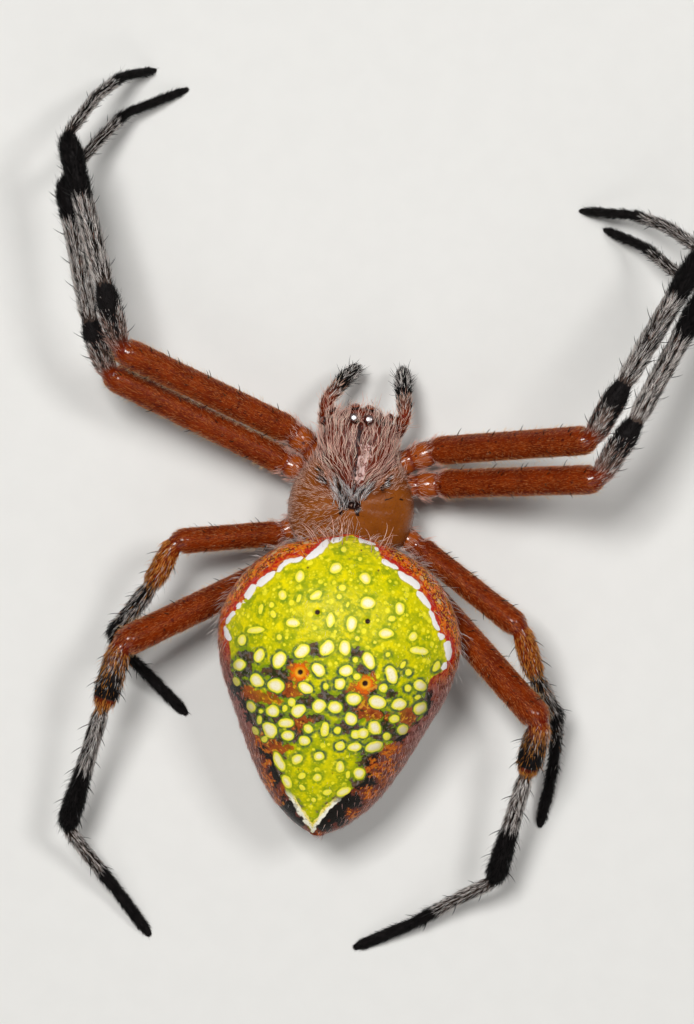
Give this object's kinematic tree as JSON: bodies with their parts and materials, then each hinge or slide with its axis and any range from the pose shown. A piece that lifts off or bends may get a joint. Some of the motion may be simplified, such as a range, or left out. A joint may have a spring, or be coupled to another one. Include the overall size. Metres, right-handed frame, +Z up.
{
  "type": "orb-weaving spider",
  "caption": "Life-size still model of a large tropical orb-weaving spider, standing, with a yellow-green, white-edged abdomen, a hairy brown head and red legs with grey and black ends.",
  "frame": {"origin": "on the floor plane, under the middle of the model's box", "axes": "+Z up, +Y towards the head along the body, +X to the spider's right"},
  "size_m": [0.028, 0.0375, 0.0093],
  "materials": {
    "carapace": "brown skin under pale hair",
    "abdomen_skin": "taut skin, softly glossy, with cream spots",
    "brown_skin": "satin brown skin",
    "red_skin": "glossy red-orange skin",
    "grey_hair": "lying grey-white hair streaked with black",
    "black_hair": "short black hair",
    "eye_lens": "polished dark lens"
  },
  "bodies": {
    "root": {"cephalothorax": "carapace", "abdomen": "abdomen_skin", "spinnerets": "brown_skin", "eye_front_median_left": "eye_lens", "eye_front_median_right": "eye_lens", "eye_rear_median_left": "eye_lens", "eye_rear_median_right": "eye_lens", "eye_front_lateral_left": "eye_lens", "eye_front_lateral_right": "eye_lens", "eye_rear_lateral_left": "eye_lens", "eye_rear_lateral_right": "eye_lens", "chelicera_left": "brown_skin", "chelicera_right": "brown_skin", "palp_left_arm": "red_skin", "palp_left_tarsus": "black_hair", "palp_right_arm": "red_skin", "palp_right_tarsus": "black_hair", "leg_1_left_femur": "red_skin", "leg_1_left_patella": "brown_skin", "leg_1_left_tibia": "grey_hair", "leg_1_left_metatarsus": "grey_hair", "leg_1_left_tarsus": "black_hair", "leg_1_right_femur": "red_skin", "leg_1_right_patella": "brown_skin", "leg_1_right_tibia": "grey_hair", "leg_1_right_metatarsus": "grey_hair", "leg_1_right_tarsus": "black_hair", "leg_2_left_femur": "red_skin", "leg_2_left_patella": "brown_skin", "leg_2_left_tibia": "grey_hair", "leg_2_left_metatarsus": "grey_hair", "leg_2_left_tarsus": "black_hair", "leg_2_right_femur": "red_skin", "leg_2_right_patella": "brown_skin", "leg_2_right_tibia": "grey_hair", "leg_2_right_metatarsus": "grey_hair", "leg_2_right_tarsus": "black_hair", "leg_3_left_femur": "red_skin", "leg_3_left_patella": "brown_skin", "leg_3_left_tibia": "grey_hair", "leg_3_left_metatarsus": "grey_hair", "leg_3_left_tarsus": "black_hair", "leg_3_right_femur": "red_skin", "leg_3_right_patella": "brown_skin", "leg_3_right_tibia": "grey_hair", "leg_3_right_metatarsus": "grey_hair", "leg_3_right_tarsus": "black_hair", "leg_4_left_femur": "red_skin", "leg_4_left_patella": "brown_skin", "leg_4_left_tibia": "grey_hair", "leg_4_left_metatarsus": "grey_hair", "leg_4_left_tarsus": "black_hair", "leg_4_right_femur": "red_skin", "leg_4_right_patella": "brown_skin", "leg_4_right_tibia": "grey_hair", "leg_4_right_metatarsus": "grey_hair", "leg_4_right_tarsus": "black_hair"}
  },
  "joints": []
}
